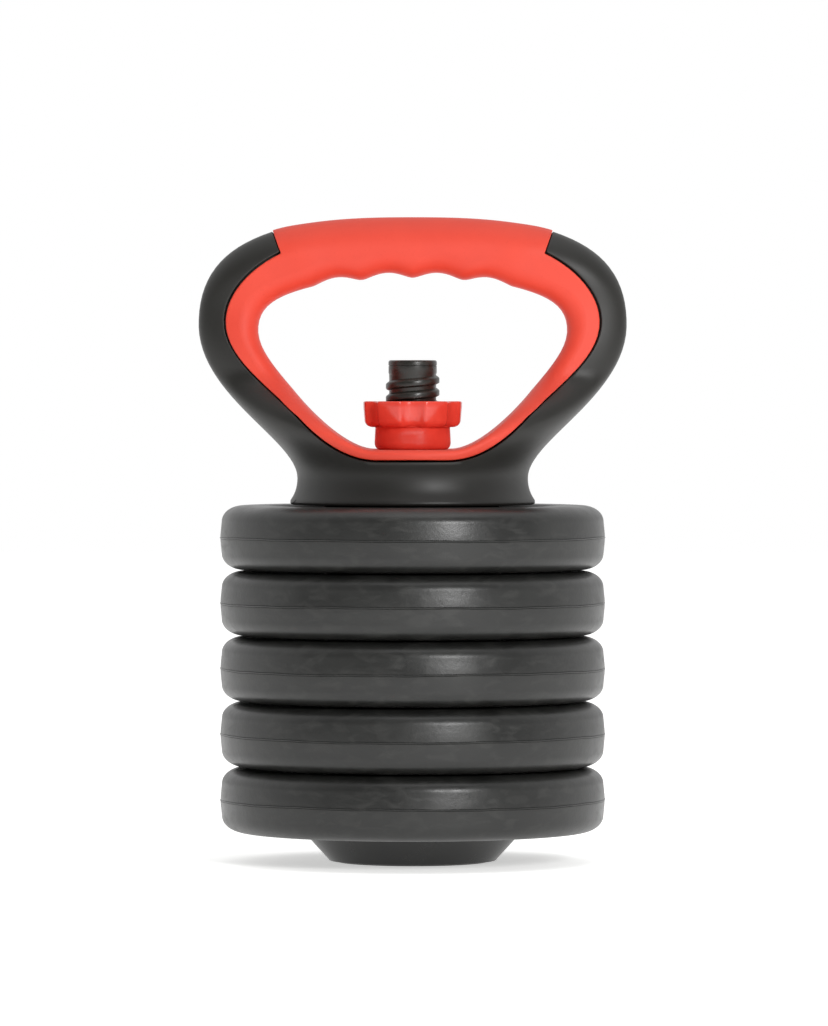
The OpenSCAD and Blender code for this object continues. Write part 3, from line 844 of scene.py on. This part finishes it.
# %% Bore, boss and the hollow under the foot
cut(body, drill(16.9, stack_top - 5, stack_top + 40))
boss = turned("boss", [(bore_r, stack_top), (18.2, stack_top), (18.2, stack_top + 22.0),
    (17.3, stack_top + 22.4), (17.3, seat - 0.05), (bore_r + 0.5, seat - 0.05),
    (bore_r, seat - 0.55)], 96)
rib_low, rib_high = stack_top + 0.6, stack_top + 9.0
rib_count, rib_l, rib_w, rib_mid = 8, 34.0, 3.0, 35.2
hollow_in, hollow_out = 20.5, 50.0
cut(body, turned("hollow_tool", [(hollow_in, stack_top - 1), (hollow_out, stack_top - 1),
    (hollow_out, rib_high), (hollow_in, rib_high)], 96))
ribs = []
for k in range(rib_count):
    start_piece()
    bpy.ops.mesh.primitive_cube_add(size=MM)
    rib = bpy.context.object
    rib.scale = (rib_l, rib_w, rib_high - rib_low + 1)
    settle(rib)
    rib.location = (rib_mid * MM, 0, (rib_low + rib_high + 1) / 2 * MM)
    settle(rib)
    rib.rotation_euler.z = math.radians(360 / rib_count * (k + 0.5))
    settle(rib)
    ribs.append(rib)
join_to(body, boss, *ribs)
smooth_piece(body, 50)
give(body, frame_plastic)
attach(body, "handle")
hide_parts("handle_frame")
print("frame with boss", size_of(body), "faces")

# %% [markdown]
# ## The studio
# The object stands on a wide sheet of pale paper with a painted glow: the paper emits light of its
# own, which lifts the shadows on it and lights the object from below like a lamp. The camera sees a
# white room, but the room lights the object more from the sides and the back than from the front:
# that draws the bright edges of the dark plastic and keeps its middle dark. A small soft box to the
# right gives each rim its cloudy highlight. There is no wall, so the object can be looked at from
# every side.

# %% Sheet of pale paper with a painted glow
start_piece()
bpy.ops.mesh.primitive_plane_add(size=14, location=(0, 0, -0.0002))
sheet = bpy.context.object
sheet.name = sheet.data.name = "paper_floor"
settle(sheet)
paper_with_painted_glow = bpy.data.materials.new("paper_with_painted_glow")
paper_with_painted_glow.use_nodes = True
paper_shader = paper_with_painted_glow.node_tree.nodes["Principled BSDF"]
paper_shader.inputs["Base Color"].default_value = (0.93, 0.93, 0.925, 1)
paper_shader.inputs["Roughness"].default_value = 0.9
paper_shader.inputs["Specular IOR Level"].default_value = 0.1
# The emission is a painted glow: it lightens the shadows on the paper and lights the object from
# below.
paper_shader.inputs["Emission Color"].default_value = (1, 1, 0.99, 1)
paper_shader.inputs["Emission Strength"].default_value = 0.52
give(sheet, paper_with_painted_glow)

# %% Light
world = bpy.data.worlds.new("white_room")
bpy.context.scene.world = world
world.use_nodes = True
room = world.node_tree
where = room.nodes.new("ShaderNodeSeparateXYZ")
room.links.new(room.nodes.new("ShaderNodeTexCoord").outputs["Generated"], where.inputs["Vector"])
deep = room.nodes.new("ShaderNodeMapRange")
deep.inputs["From Min"].default_value, deep.inputs["From Max"].default_value = -1, 0.1
room.links.new(where.outputs["Y"], deep.inputs["Value"])
around = ramp(room, deep.outputs["Result"], (0.0, 0.25), (0.45, 0.30), (1.0, 0.92))
seen = room.nodes.new("ShaderNodeLightPath").outputs["Is Camera Ray"]
room.links.new(mix(room, around, (1, 1, 1), seen), room.nodes["Background"].inputs["Color"])


def soft_box(name, azimuth, elevation, distance, size, power):
    """An area light aimed at the middle of the object. Azimuth is to the right of the front."""
    a, e = math.radians(azimuth), math.radians(elevation)
    aim = Vector((0, 0, 0.17))
    out = Vector((math.sin(a) * math.cos(e), -math.cos(a) * math.cos(e), math.sin(e)))
    start_piece()
    bpy.ops.object.light_add(type="AREA", location=aim + out * distance)
    lamp = bpy.context.object
    lamp.name = lamp.data.name = name
    lamp.rotation_euler = out.to_track_quat("Z", "Y").to_euler()
    lamp.data.shape = "RECTANGLE"
    lamp.data.size, lamp.data.size_y = size
    lamp.data.energy = power


soft_box("key_box", 23, 17, 2.2, (0.34, 0.5), 25)
soft_box("top_box", 20, 75, 2.0, (1.4, 1.0), 6)
bpy.context.scene.view_settings.view_transform = "Standard"
bpy.context.scene.view_settings.look = "None"

# %% [markdown]
# The camera stands nearly four metres away with a long lens, a little above the middle of the
# stack and tilted down by one degree, so the plates show almost no top.

# %% Camera
start_piece()
bpy.ops.object.camera_add(location=(0.0007, -3.694, 0.2465), rotation=(math.radians(89), 0, 0))
camera = bpy.context.object
camera.name = "studio_camera"
camera.data.sensor_width = 36
camera.data.lens = 248.2
camera.data.clip_start, camera.data.clip_end = 0.1, 50
bpy.context.scene.camera = camera
